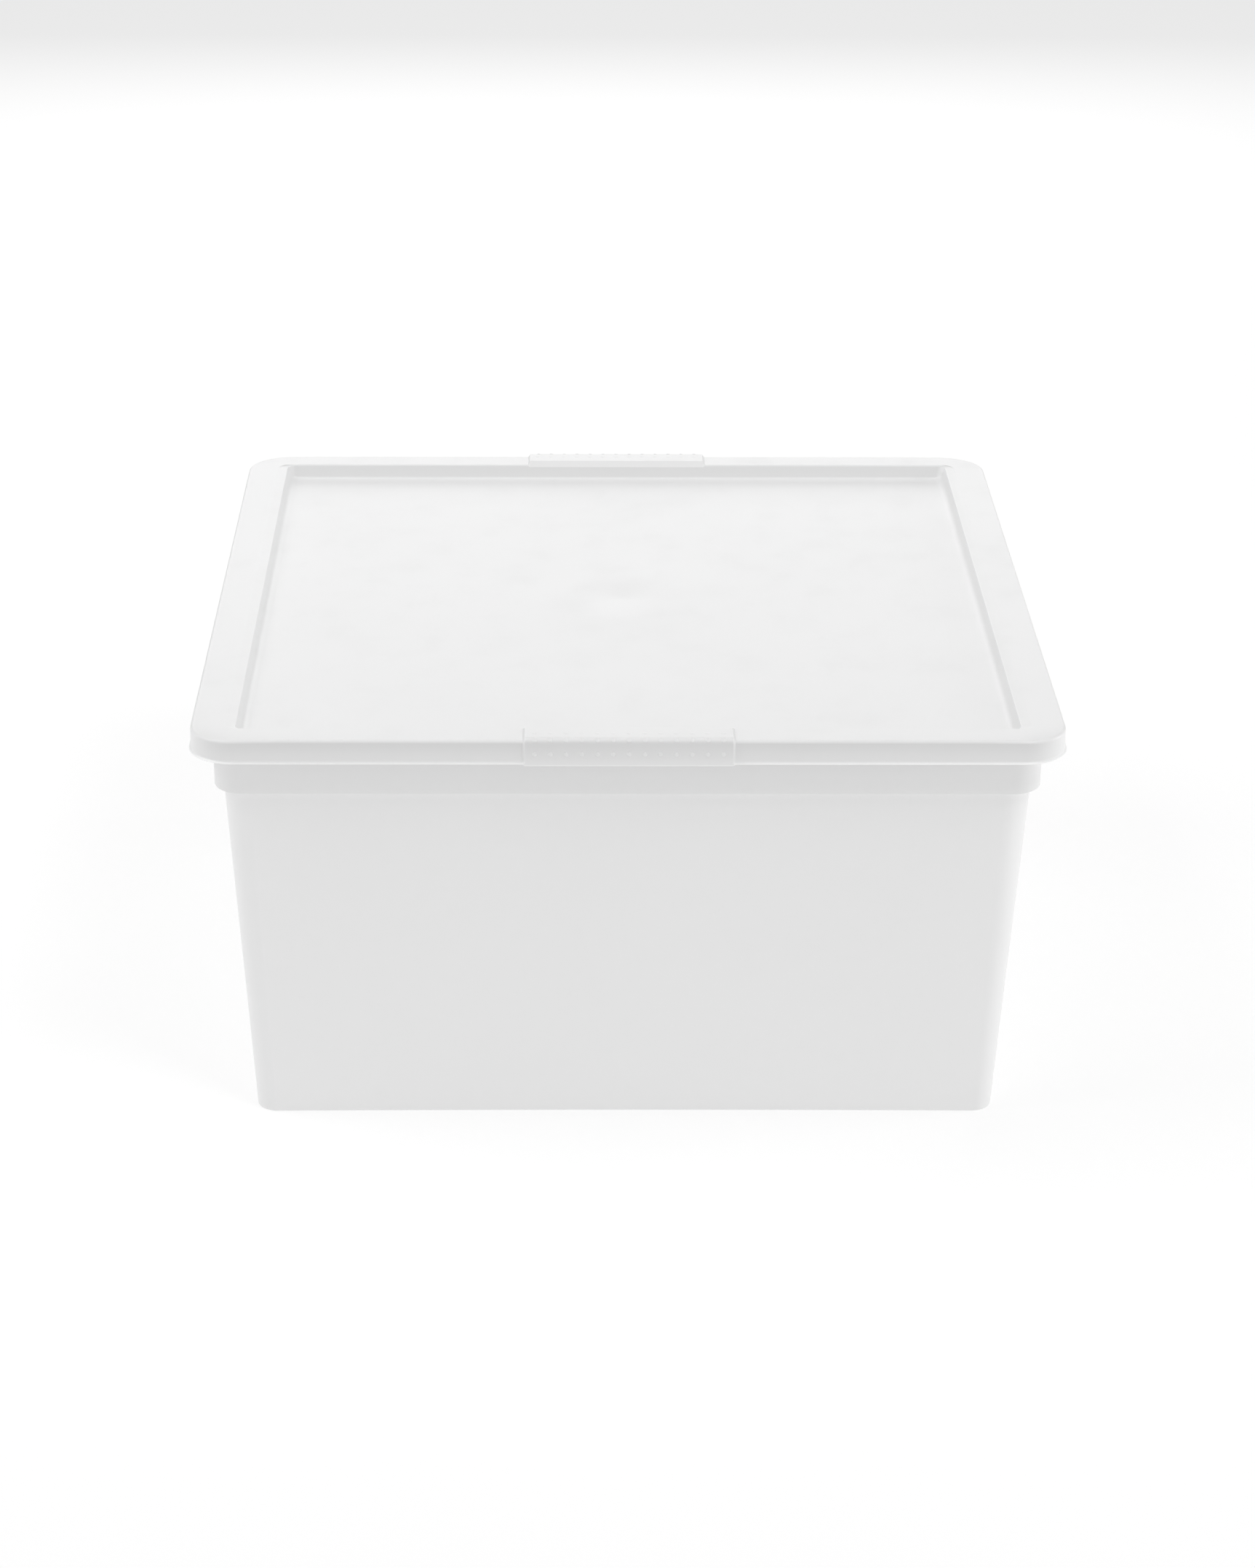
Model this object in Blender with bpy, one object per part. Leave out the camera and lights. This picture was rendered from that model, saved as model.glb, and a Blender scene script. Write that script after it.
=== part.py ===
"""Lidded stacking storage box: an injection-moulded tub and a press-on lid, both white polypropylene.

Frame: +Z up, the front faces -Y, the origin is the middle of the base at the height that it stands on.
Every size is in metres. An inset is measured inwards from the outline of the lid's flat top.
"""
import math

import bmesh
import bpy
from mathutils import Vector

# Overall sizes
LID_WIDTH = 0.4000          # over the lip, left to right
LID_DEPTH = 0.4000          # over the lip, front to back, without the grip pads
BOX_HEIGHT = 0.2020         # from the ground to the lid's border

# Lid
LID_WALL = 0.0020
LID_CORNER = 0.0205         # corner radius of the lid's outline
TOP_EDGE_ROUND = 0.0012
SKIRT_HEIGHT = 0.0112
LIP_FLARE = 0.0009          # how far the lip stands out from the lid's outline
LIP_HEIGHT = 0.0011
BORDER_SIDE = 0.0160        # flat border beside the recess, left and right
BORDER_END = 0.0145         # flat border before and behind the recess
LEAD_IN_SIDE = 0.0045       # gentle slope between the flat border and the recess wall
LEAD_IN_END = 0.0005
LEAD_IN_DROP = 0.0006
RECESS_CORNER = 0.0060
RECESS_DEPTH = 0.0065
RECESS_RUN = 0.0027         # how far the recess wall leans in over its height
DISH_RADIUS = 0.0310
DISH_DEPTH = 0.0013
DISH_TIP_RADIUS = 0.0034
DISH_CURVE = 1.5            # above 1 the dish is steepest at its middle

# Grip pads, one at the front and one at the back
PAD_WIDTH = 0.0960
PAD_RAISE = 0.0015          # above the border
PAD_PROUD = 0.0003          # beyond the lip
PAD_BELOW_LIP = 0.0007
PAD_END_SLOPE = 0.0010
PAD_INNER_SLOPE = 0.0024    # how far the face towards the recess leans out
PAD_EDGE_ROUND = 0.0022
PAD_ROOT = 0.0005           # how deep the pad is rooted in the lid's wall
KNOB_COLUMNS = 13
KNOB_END_MARGIN = 0.0054    # from the pad's end to the middle of the last knob
KNOB_RADIUS = 0.0013
KNOB_TIP_RADIUS = 0.0007
TOP_KNOB_HEIGHT = 0.0002
EDGE_KNOB_HEIGHT = 0.0003
FACE_KNOB_HEIGHT = 0.0005
KNOB_FROM_FRONT = 0.0067    # row on the top face, back from the pad's front face
KNOB_FROM_TOP = 0.0075      # row on the front face, down from the pad's top face

# Tub
TUB_WALL = 0.0020
TUB_FLOOR = 0.0022
COLLAR_DROP = 0.0306        # from the lid's border down to the ledge under the collar
COLLAR_LEAN = 0.0004
LEDGE = 0.0039
COLLAR_CORNER = 0.0145
BODY_CORNER = 0.0133        # corner radius under the collar
BASE_CORNER = 0.0098        # corner radius at the base
BASE_ROUND = 0.0025
FOOT_WIDTH = 0.0100         # width of the ring that the box stands on
FOOT_HEIGHT = 0.0012
RIM_WALL = 0.0020
RIM_LIP_COVER = 0.0025      # how much lower the lid's skirt reaches than the tub's rim

# Fits
REST_GAP = 0.0003           # between the tub's rim and the lid that lies on it
SKIRT_CLEARANCE = 0.0006    # between the tub's rim and the lid's skirt
PLUG_CLEARANCE = 0.0015     # between the tub's collar and the lid's recess wall
NEST_CLEARANCE = 0.0004     # between a box's base and the recess of the lid that it stands on

# Mesh fineness
CORNER_STEPS = 8
ROUND_STEPS = 3
DISH_STEPS = 3
KNOB_SIDES = 8

PLASTIC_COLOUR = (0.84, 0.84, 0.84, 1.0)
PLASTIC_ROUGHNESS = 0.42

# Derived places
TOP_HALF_X = LID_WIDTH / 2 - LIP_FLARE
TOP_HALF_Y = LID_DEPTH / 2 - LIP_FLARE
RECESS_INSET_X = BORDER_SIDE + LEAD_IN_SIDE
RECESS_INSET_Y = BORDER_END + LEAD_IN_END
RIM_INSET = LID_WALL + SKIRT_CLEARANCE
COLLAR_INNER_INSET = min(RECESS_INSET_X, RECESS_INSET_Y) - LID_WALL - PLUG_CLEARANCE
COLLAR_INSET = COLLAR_INNER_INSET - TUB_WALL
BODY_INSET = COLLAR_INSET + COLLAR_LEAN + LEDGE
BASE_INSET = max(RECESS_INSET_X, RECESS_INSET_Y) + RECESS_RUN + NEST_CLEARANCE
SKIRT_BOTTOM = BOX_HEIGHT - SKIRT_HEIGHT
RIM_TOP = BOX_HEIGHT - LID_WALL - REST_GAP
LEDGE_TOP = BOX_HEIGHT - COLLAR_DROP


def ring(inset, corner, height, inset_y=None):
    """Points of a rounded rectangle, anticlockwise from above; inset_y is the inset at front and back."""
    half_x = TOP_HALF_X - inset
    half_y = TOP_HALF_Y - (inset if inset_y is None else inset_y)
    points = []
    for quarter, (side_x, side_y) in enumerate(((1, 1), (-1, 1), (-1, -1), (1, -1))):
        for step in range(CORNER_STEPS + 1):
            angle = math.pi / 2 * (quarter + step / CORNER_STEPS)
            x = side_x * (half_x - corner) + corner * math.cos(angle)
            y = side_y * (half_y - corner) + corner * math.sin(angle)
            points.append(Vector((x, y, height)))
    return points


def circle(radius, height):
    """Points of a circle about the middle, at the same angles as a ring's corner points."""
    points = []
    for quarter in range(4):
        for step in range(CORNER_STEPS + 1):
            angle = math.pi / 2 * (quarter + (step + 0.5) / (CORNER_STEPS + 1))
            points.append(Vector((radius * math.cos(angle), radius * math.sin(angle), height)))
    return points


def loft(mesh, rings):
    """Adds the closed solid that runs through the rings and is capped by the first and the last."""
    loops = [[mesh.verts.new(point) for point in points] for points in rings]
    count = len(loops[0])
    for lower, upper in zip(loops, loops[1:]):
        for index in range(count):
            after = (index + 1) % count
            mesh.faces.new((lower[index], lower[after], upper[after], upper[index]))
    mesh.faces.new(list(reversed(loops[0])))
    mesh.faces.new(loops[-1])


def plastic(name):
    material = bpy.data.materials.new(name)
    material.use_nodes = True
    shader = material.node_tree.nodes["Principled BSDF"]
    shader.inputs["Base Color"].default_value = PLASTIC_COLOUR
    shader.inputs["Roughness"].default_value = PLASTIC_ROUGHNESS
    shader.inputs["Metallic"].default_value = 0.0
    return material


def new_object(name, mesh, material=None):
    """Turns a bmesh into a named object, shaded smooth over its rounded stretches."""
    data = bpy.data.meshes.new(name)
    mesh.to_mesh(data)
    mesh.free()
    data.shade_smooth()
    data.set_sharp_from_angle(angle=math.radians(35))
    if material:
        data.materials.append(material)
    thing = bpy.data.objects.new(name, data)
    bpy.context.scene.collection.objects.link(thing)
    return thing


def hidden(thing):
    thing.hide_render = True
    thing.display_type = "WIRE"
    return thing


def tub_outside():
    """Rings from the raised middle of the underside, over the foot and up to the ledge."""
    foot_inner = BASE_INSET + BASE_ROUND + FOOT_WIDTH
    rings = [
        ring(foot_inner + FOOT_HEIGHT, BASE_CORNER / 2, FOOT_HEIGHT),
        ring(foot_inner, BASE_CORNER / 2, 0.0),
    ]
    for step in range(ROUND_STEPS + 1):
        angle = math.pi / 2 * step / ROUND_STEPS
        inset = BASE_INSET + BASE_ROUND * (1 - math.sin(angle))
        corner = BASE_CORNER - BASE_ROUND * (1 - math.sin(angle))
        rings.append(ring(inset, corner, BASE_ROUND * (1 - math.cos(angle))))
    rings.append(ring(BODY_INSET, BODY_CORNER, LEDGE_TOP))
    return rings


def tub_rim():
    """Rings up the collar, out over the flange, round its turned-down edge and back to the inside."""
    lip_bottom = SKIRT_BOTTOM + RIM_LIP_COVER
    flange_under = RIM_TOP - RIM_WALL
    rim_corner = LID_CORNER - RIM_INSET
    return [
        ring(COLLAR_INSET + COLLAR_LEAN, COLLAR_CORNER, LEDGE_TOP),
        ring(COLLAR_INSET, COLLAR_CORNER, flange_under),
        ring(RIM_INSET + RIM_WALL, rim_corner - RIM_WALL, flange_under),
        ring(RIM_INSET + RIM_WALL, rim_corner - RIM_WALL, lip_bottom),
        ring(RIM_INSET, rim_corner, lip_bottom),
        ring(RIM_INSET, rim_corner, RIM_TOP - RIM_WALL / 2),
        ring(RIM_INSET + RIM_WALL / 2, rim_corner - RIM_WALL / 2, RIM_TOP),
        ring(COLLAR_INNER_INSET, COLLAR_CORNER - TUB_WALL, RIM_TOP),
    ]


def tub_inside():
    """Rings down the inside: collar, ledge, tapered wall and floor."""
    floor = FOOT_HEIGHT + TUB_FLOOR
    inner_ledge = LEDGE_TOP + TUB_WALL
    base_inner = BASE_INSET + TUB_WALL
    round_inner = BASE_ROUND / 2
    return [
        ring(COLLAR_INNER_INSET + COLLAR_LEAN, COLLAR_CORNER - TUB_WALL, inner_ledge),
        ring(BODY_INSET + TUB_WALL, BODY_CORNER - TUB_WALL, inner_ledge),
        ring(base_inner, BASE_CORNER - TUB_WALL, floor + round_inner),
        ring(base_inner + round_inner, BASE_CORNER - TUB_WALL - round_inner, floor),
    ]


def make_tub(material):
    mesh = bmesh.new()
    loft(mesh, tub_outside() + tub_rim() + tub_inside())
    return new_object("tub", mesh, material)


def lid_underside():
    """Rings from the underside of the recess, out under the border and down inside the skirt."""
    return [
        recess_ring(RECESS_RUN - LID_WALL, RECESS_DEPTH + LID_WALL),
        recess_ring(-LID_WALL, LID_WALL),
        ring(LID_WALL, LID_CORNER - LID_WALL, BOX_HEIGHT - LID_WALL),
        ring(LID_WALL, LID_CORNER - LID_WALL, SKIRT_BOTTOM),
    ]


def recess_ring(inwards, depth):
    """A ring of the recess's wall, so far inwards of its upper edge and so deep below the border."""
    corner = RECESS_CORNER - LEAD_IN_SIDE / 2 - inwards / 2
    return ring(RECESS_INSET_X + inwards, corner, BOX_HEIGHT - depth, RECESS_INSET_Y + inwards)


def lid_skirt():
    """Rings up the outside: flared lip, skirt and rounded top edge."""
    lip_top = SKIRT_BOTTOM + LIP_HEIGHT
    rings = [
        ring(-LIP_FLARE, LID_CORNER + LIP_FLARE, SKIRT_BOTTOM),
        ring(-LIP_FLARE, LID_CORNER + LIP_FLARE, lip_top - LIP_FLARE / 2),
        ring(0.0, LID_CORNER, lip_top),
    ]
    for step in range(ROUND_STEPS + 1):
        angle = math.pi / 2 * step / ROUND_STEPS
        inset = TOP_EDGE_ROUND * (1 - math.cos(angle))
        height = BOX_HEIGHT - TOP_EDGE_ROUND * (1 - math.sin(angle))
        rings.append(ring(inset, LID_CORNER - inset, height))
    return rings


def lid_recess():
    """Rings across the border, down the recess wall and over the floor into the shallow dish."""
    rings = [
        ring(BORDER_SIDE, RECESS_CORNER, BOX_HEIGHT, BORDER_END),
        recess_ring(0.0, LEAD_IN_DROP),
        recess_ring(RECESS_RUN, RECESS_DEPTH),
    ]
    for step in range(DISH_STEPS + 1):
        share = step / DISH_STEPS
        radius = DISH_RADIUS + (DISH_TIP_RADIUS - DISH_RADIUS) * share
        rings.append(circle(radius, BOX_HEIGHT - RECESS_DEPTH - DISH_DEPTH * share ** DISH_CURVE))
    return rings


def pad_profile(front, top, bottom):
    """Outline of a grip pad seen from the side, as (distance from the lid's middle, height) pairs."""
    inner = TOP_HALF_Y - RECESS_INSET_Y + PAD_ROOT
    back_of_front = TOP_HALF_Y - LID_WALL + PAD_ROOT
    outline = [(inner, BOX_HEIGHT - LEAD_IN_DROP - PAD_ROOT), (inner + PAD_INNER_SLOPE, top)]
    for step in range(ROUND_STEPS + 1):
        angle = math.pi / 2 * (1 - step / ROUND_STEPS)
        across = front - PAD_EDGE_ROUND * (1 - math.cos(angle))
        up = top - PAD_EDGE_ROUND * (1 - math.sin(angle))
        outline.append((across, up))
    outline.append((front, bottom))
    outline.append((back_of_front, bottom))
    outline.append((back_of_front, BOX_HEIGHT - LEAD_IN_DROP - PAD_ROOT))
    return outline


def pad_place():
    """Distance of a pad's front face from the lid's middle, and the height of its top face."""
    return LID_DEPTH / 2 + PAD_PROUD, BOX_HEIGHT + PAD_RAISE


def add_pad(mesh, side):
    """Adds one pad; side is -1 at the front and +1 at the back. Its ends slope into the lid."""
    front, top = pad_place()
    proud = pad_profile(front, top, SKIRT_BOTTOM - PAD_BELOW_LIP)
    sunk = pad_profile(TOP_HALF_Y - PAD_ROOT / 2, BOX_HEIGHT - PAD_ROOT / 2, SKIRT_BOTTOM + PAD_ROOT / 2)
    outer = PAD_WIDTH / 2
    places = ((-outer, sunk), (PAD_END_SLOPE - outer, proud), (outer - PAD_END_SLOPE, proud), (outer, sunk))
    rings = [[Vector((-side * x, side * across, up)) for across, up in outline] for x, outline in places]
    loft(mesh, rings)


def add_knob(mesh, centre, outwards, height):
    """Adds one small cone-shaped knob that is rooted in the pad and stands out along outwards."""
    turn = Vector((0, 0, 1)).rotation_difference(outwards)
    rings = []
    for radius, up in ((KNOB_RADIUS, -PAD_ROOT), (KNOB_RADIUS, 0.0), (KNOB_TIP_RADIUS, height)):
        points = []
        for index in range(KNOB_SIDES):
            angle = 2 * math.pi * (index + 0.5) / KNOB_SIDES
            point = Vector((radius * math.cos(angle), radius * math.sin(angle), up))
            points.append(centre + turn @ point)
        rings.append(points)
    loft(mesh, rings)


def add_pad_knobs(mesh, side):
    """Adds the knobs of one pad: a row on its top, one on its rounded edge and one on its front."""
    front, top = pad_place()
    slant = math.sqrt(0.5)
    edge_inset = PAD_EDGE_ROUND * (1 - slant)
    rows = (
        (front - KNOB_FROM_FRONT, top, 0.0, 1.0, TOP_KNOB_HEIGHT),
        (front - edge_inset, top - edge_inset, slant, slant, EDGE_KNOB_HEIGHT),
        (front, top - KNOB_FROM_TOP, 1.0, 0.0, FACE_KNOB_HEIGHT),
    )
    first = KNOB_END_MARGIN - PAD_WIDTH / 2
    pitch = -2 * first / (KNOB_COLUMNS - 1)
    for column in range(KNOB_COLUMNS):
        x = first + column * pitch
        for across, up, out_across, out_up, height in rows:
            outwards = Vector((0.0, side * out_across, out_up))
            add_knob(mesh, Vector((x, side * across, up)), outwards, height)


def add_union(thing, operand):
    modifier = thing.modifiers.new(operand.name, "BOOLEAN")
    modifier.operation = "UNION"
    modifier.solver = "EXACT"
    modifier.object = operand


def make_lid(material):
    shell = bmesh.new()
    loft(shell, lid_underside() + lid_skirt() + lid_recess())
    lid = new_object("lid", shell, material)
    pads = bmesh.new()
    knobs = bmesh.new()
    for side in (-1, 1):
        add_pad(pads, side)
        add_pad_knobs(knobs, side)
    add_union(lid, hidden(new_object("grip_pads", pads)))
    add_union(lid, hidden(new_object("grip_knobs", knobs)))
    return lid


def main():
    for thing in list(bpy.data.objects):
        bpy.data.objects.remove(thing)
    make_tub(plastic("tub_plastic"))
    make_lid(plastic("lid_plastic"))


main()
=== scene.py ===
import math

import bmesh
import bpy
from mathutils import Matrix, Vector


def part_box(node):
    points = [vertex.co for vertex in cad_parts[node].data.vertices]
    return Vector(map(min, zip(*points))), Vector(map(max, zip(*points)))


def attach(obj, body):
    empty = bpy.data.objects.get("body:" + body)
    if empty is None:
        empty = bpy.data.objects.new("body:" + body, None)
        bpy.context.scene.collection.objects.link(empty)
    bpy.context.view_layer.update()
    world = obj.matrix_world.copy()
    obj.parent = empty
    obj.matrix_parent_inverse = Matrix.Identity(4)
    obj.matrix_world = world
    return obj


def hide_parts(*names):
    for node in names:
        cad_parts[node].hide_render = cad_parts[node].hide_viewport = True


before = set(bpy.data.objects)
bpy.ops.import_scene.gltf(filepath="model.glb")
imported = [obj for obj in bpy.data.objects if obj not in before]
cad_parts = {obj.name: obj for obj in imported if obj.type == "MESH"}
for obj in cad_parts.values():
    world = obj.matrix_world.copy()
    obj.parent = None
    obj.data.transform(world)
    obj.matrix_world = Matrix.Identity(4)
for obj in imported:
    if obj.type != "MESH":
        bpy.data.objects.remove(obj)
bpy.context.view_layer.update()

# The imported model's own places, in metres: +Z up, the front faces -Y, the box stands on z = 0.
LID_LOW, LID_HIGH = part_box("lid")
TUB_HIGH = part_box("tub")[1]

# Lid. A profile point's first number is its distance outwards from the outline of the flat top.
LIP_FLARE = 0.0009
TOP_KNOB_HEIGHT = 0.0002
EDGE_KNOB_HEIGHT = 0.0003
FACE_KNOB_HEIGHT = 0.0005
PAD_RAISE = 0.0015
BORDER_Z = LID_HIGH.z - TOP_KNOB_HEIGHT - PAD_RAISE
OUTLINE_X = LID_HIGH.x - LIP_FLARE
PAD_FRONT = LID_HIGH.y - FACE_KNOB_HEIGHT
PAD_PROUD = 0.0012              # beyond the outline of the lid's top
OUTLINE_Y = PAD_FRONT - PAD_PROUD
SKIRT_HEIGHT = 0.0112
SKIRT_SWEEP = 0.0800            # radius of the skirt's hollow sweep down to its lip
SKIRT_SWEEP_MIDDLE = 0.0050     # below the border
SKIRT_HOLLOW = 0.0001           # at the front and the back
LIP_ROOT = 0.0002
LIP_EDGE = 0.0003
LIP_HEIGHT = 0.0010
LID_WALL = 0.0020
SKIRT_DRAFT = 0.0002            # how much thinner the skirt gets towards its lip
LID_CORNER = 0.0205
TOP_EDGE_ROUND = 0.0013
BORDER_SIDE = 0.0160
BORDER_END = 0.0145
LEAD_IN_SIDE = 0.0045
LEAD_IN_END = 0.0005
LEAD_IN_DROP = 0.0006
RECESS_DEPTH = 0.0065
RECESS_RUN = 0.0027
FOOT_ROUND_SIDE = 0.0048
FOOT_ROUND_END = 0.0013
RECESS_CORNER = 0.0038
RECESS_CORNER_TAPER = 0.35      # how fast that radius gets smaller on the way in to the floor
RECESS_FOOT_CORNER = 0.0025
LID_UNDER_REACH = 0.0040        # flat stretches inside the foot of the slope, below and above
LID_FLOOR_REACH = 0.0060
LID_UNDER_CIRCLES = ((0.6, 0.100), (1.0, 0.040))
DISH_RADIUS = 0.0310
DISH_DEPTH = 0.0013
DISH_CURVE = 1.5
CROWN_RADIUS = 0.0680           # the floor rises a little towards the dish
CROWN_HEIGHT = 0.0005
MIDDLE_RINGS = 30
MIDDLE_TURN_STEPS = 96
CORNER_DROOP = 0.0007           # how far the border sinks towards each corner's edge
DROOP_WIDTH = 0.0095
DROOP_REACH = 0.0300
DROOP_START = 0.3               # in corner radii from the corner
DROOP_SOFTNESS = 1.6

# Grip pads
PAD_HALF = 0.0480
PAD_END_SLOPE = 0.0010
PAD_EDGE_ROUND = 0.0022
PAD_INNER_SLOPE = 0.0028
PAD_DRAFT = 0.0005
PAD_FOOT_IN = 0.0002            # the pad's slope meets the recess a little inside and below its edge
PAD_FOOT_DROP = 0.0005
KNOB_COLUMNS = 13
KNOB_END_MARGIN = 0.0054
KNOB_RADIUS = 0.00115
WORN_SHARE = 0.6                # of their height that the top and edge rows have left
KNOB_ROOT_SHARE = 0.5           # share of a dome, from its middle to its top, sunk in the pad
KNOB_SEGMENTS = 14
KNOB_RINGS = 7
KNOB_FROM_FRONT = 0.0067
KNOB_FROM_TOP = 0.0075

# Tub. A profile point's first number is its distance outwards from the outline of the lid's top.
TUB_WALL = 0.0020
TUB_FLOOR = 0.0022
RIM_EDGE = TUB_HIGH.x - OUTLINE_X
RIM_TOP = TUB_HIGH.z
RIM_WALL = 0.0020
RIM_LIP_DROP = 0.0066
COLLAR_EDGE = -0.0095
COLLAR_LEAN = 0.0004
COLLAR_DROP = 0.0306
LEDGE = 0.0039
BASE_EDGE = -0.0236
COLLAR_CORNER = 0.0145
BODY_CORNER = 0.0133
BASE_CORNER = 0.0098
BASE_ROUND = 0.0009
BASE_TUCK = 0.0001              # how far the base's outline lies inside the foot of the wall
SMALLEST_TUB_CORNER = 0.0040
FOOT_WIDTH = 0.0100
FOOT_HEIGHT = 0.0012
TUB_UNDER_REACH = 0.0060        # flat stretches of the base's underside and of the floor
TUB_FLOOR_REACH = 0.0100
TUB_CIRCLES = ((0.5, 0.10), (1.0, 0.05))
WALL_BOW = 0.0010               # how far the middle of a tub wall has drawn in as it cooled
BASE_BOW = 0.0002               # how far the middle of the base's edge has lifted
BOW_START = 0.4                 # share of the half width beyond which points move with the wall
BOW_RUN = 0.5
BOW_FADE = 0.625                # share of the body's height, down from the ledge, over which it grows
BASE_BOW_FADE = 0.25            # share of the body's height over which the base's lift dies out

# Fineness of the moulded shells
CORNER_STEPS = 16
OUTER_STEPS = 7
RAMP_STEPS = 10
MIDDLE_STEPS = 8
RAMP_MARGIN = 0.0004
STRAIGHT_SPREAD = 0.0004
LONGEST_STEP = 0.0016
WALL_ROW = 0.0150
SAME_PLACE = 0.0001             # places closer than this count as one
SHADING_WEIGHT = 80


def smooth_step(value):
    value = max(0.0, min(1.0, value))
    return value * value * (3 - 2 * value)


def rounded(corners):
    """A profile from (out, height, radius, steps) corners, each rounded to its radius by so many steps.
    A corner without a radius lies on a straight stretch and spreads its points along it."""
    places = [Vector((out, height)) for out, height, _, _ in corners]
    profile = [places[0]]
    for index in range(1, len(corners) - 1):
        radius, steps = corners[index][2:]
        before = (places[index - 1] - places[index]).normalized()
        after = (places[index + 1] - places[index]).normalized()
        if radius == 0:
            for step in range(steps + 1):
                along = STRAIGHT_SPREAD * (step / max(steps, 1) - 0.5)
                profile.append(places[index] + (after if along > 0 else before) * abs(along))
            continue
        half_angle = before.angle(after) / 2
        reach = radius / math.tan(half_angle)
        middle = places[index] + (before + after).normalized() * (radius / math.sin(half_angle))
        start = places[index] + before * reach - middle
        end = places[index] + after * reach - middle
        for step in range(steps + 1):
            share = step / steps
            spread = start.angle(end)
            first = math.sin((1 - share) * spread) / math.sin(spread)
            second = math.sin(share * spread) / math.sin(spread)
            profile.append(middle + start * first + end * second)
    profile.append(places[-1])
    return profile


def fuller(profiles, longest):
    """Splits the stretches of profiles that belong together, alike in all, so that none is too long."""
    full = [[profile[0]] for profile in profiles]
    for index in range(1, len(profiles[0])):
        length = max((profile[index] - profile[index - 1]).length for profile in profiles)
        parts = math.ceil(length / longest)
        for profile, points in zip(profiles, full):
            start, end = profile[index - 1], profile[index]
            points += [start.lerp(end, part / parts) for part in range(1, parts + 1)]
    return full


def side_places(straight):
    """Places along a straight side from one end to the other, closer together at a grip pad's ends."""
    ramp_outer = PAD_HALF + RAMP_MARGIN
    ramp_inner = PAD_HALF - PAD_END_SLOPE - RAMP_MARGIN
    places = [ramp_outer + (straight - ramp_outer) * (1 - step / OUTER_STEPS) for step in range(OUTER_STEPS)]
    places += [ramp_outer + (ramp_inner - ramp_outer) * step / RAMP_STEPS for step in range(RAMP_STEPS)]
    places += [ramp_inner * (1 - 2 * step / MIDDLE_STEPS) for step in range(MIDDLE_STEPS // 2)]
    return places + [0.0] + [-place for place in reversed(places)]


def ring(side, end, corner, pad=None):
    """Points of a rounded rectangle, anticlockwise from above. The left and right sides lie at the
    profile point side, the front and back at end, and between them at a grip pad at pad."""
    half_x, half_y = OUTLINE_X + side.x, OUTLINE_Y + end.x
    straight_x, straight_y = half_x - corner, half_y - corner
    points = []
    for quarter, (sign_x, sign_y) in enumerate(((1, 1), (-1, 1), (-1, -1), (1, -1))):
        for step in range(1, CORNER_STEPS):
            share = step / CORNER_STEPS
            angle = math.pi / 2 * (quarter + share)
            towards_end = 1 - share if quarter % 2 else share
            x = sign_x * straight_x + corner * math.cos(angle)
            y = sign_y * straight_y + corner * math.sin(angle)
            points.append(Vector((x, y, side.y + (end.y - side.y) * smooth_step(towards_end))))
        if quarter % 2 == 0:
            for place in side_places(straight_x):
                share = max(0.0, min(1.0, (PAD_HALF - abs(place)) / PAD_END_SLOPE)) if pad else 0.0
                out, height = end.lerp(pad, share) if pad else end
                points.append(Vector((sign_x * place, sign_y * (OUTLINE_Y + out), height)))
        else:
            for place in side_places(straight_y):
                points.append(Vector((sign_x * half_x, -sign_x * place, side.y)))
    return points


def add_strips(mesh, rings):
    """Joins rings of points into a skin and gives its rings of vertices."""
    loops = [[mesh.verts.new(point) for point in points] for points in rings]
    count = len(loops[0])
    for lower, upper in zip(loops, loops[1:]):
        for index in range(count):
            after = (index + 1) % count
            mesh.faces.new((lower[index], lower[after], upper[after], upper[index]))
    return loops


def add_fan(mesh, loop, turned=False):
    """Closes a ring of vertices with triangles round its middle."""
    middle = mesh.verts.new(sum((vertex.co for vertex in loop), Vector()) / len(loop))
    for index, vertex in enumerate(loop):
        after = loop[(index + 1) % len(loop)]
        mesh.faces.new((middle, after, vertex) if turned else (middle, vertex, after))


def loop_edges(mesh, loop):
    return [mesh.edges.get((vertex, loop[(index + 1) % len(loop)])) for index, vertex in enumerate(loop)]


def inner_rings(edge, circles, height):
    """Flat rings that run in from a rounded rectangle to a circle, one for each (share, radius)."""
    rings = []
    for share, radius in circles:
        points = []
        for point in edge:
            flat = Vector((point.x, point.y))
            round_place = flat.normalized() * radius
            place = flat.lerp(round_place, share)
            points.append(Vector((place.x, place.y, height)))
        rings.append(points)
    return rings


def finish_piece(name, mesh, body, materials, node=None):
    """Turns a bmesh into a smooth-shaded piece that rides on a body and may stand for a CAD node."""
    bmesh.ops.recalc_face_normals(mesh, faces=mesh.faces)
    data = bpy.data.meshes.new(name)
    mesh.to_mesh(data)
    mesh.free()
    data.shade_smooth()
    for material in materials:
        data.materials.append(material)
    piece = bpy.data.objects.new(name, data)
    bpy.context.scene.collection.objects.link(piece)
    weighted = piece.modifiers.new("even_shading", "WEIGHTED_NORMAL")
    weighted.keep_sharp = True
    weighted.weight = SHADING_WEIGHT
    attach(piece, body)
    if node:
        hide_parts(node)
    return piece


# ---- Lid ----

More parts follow.
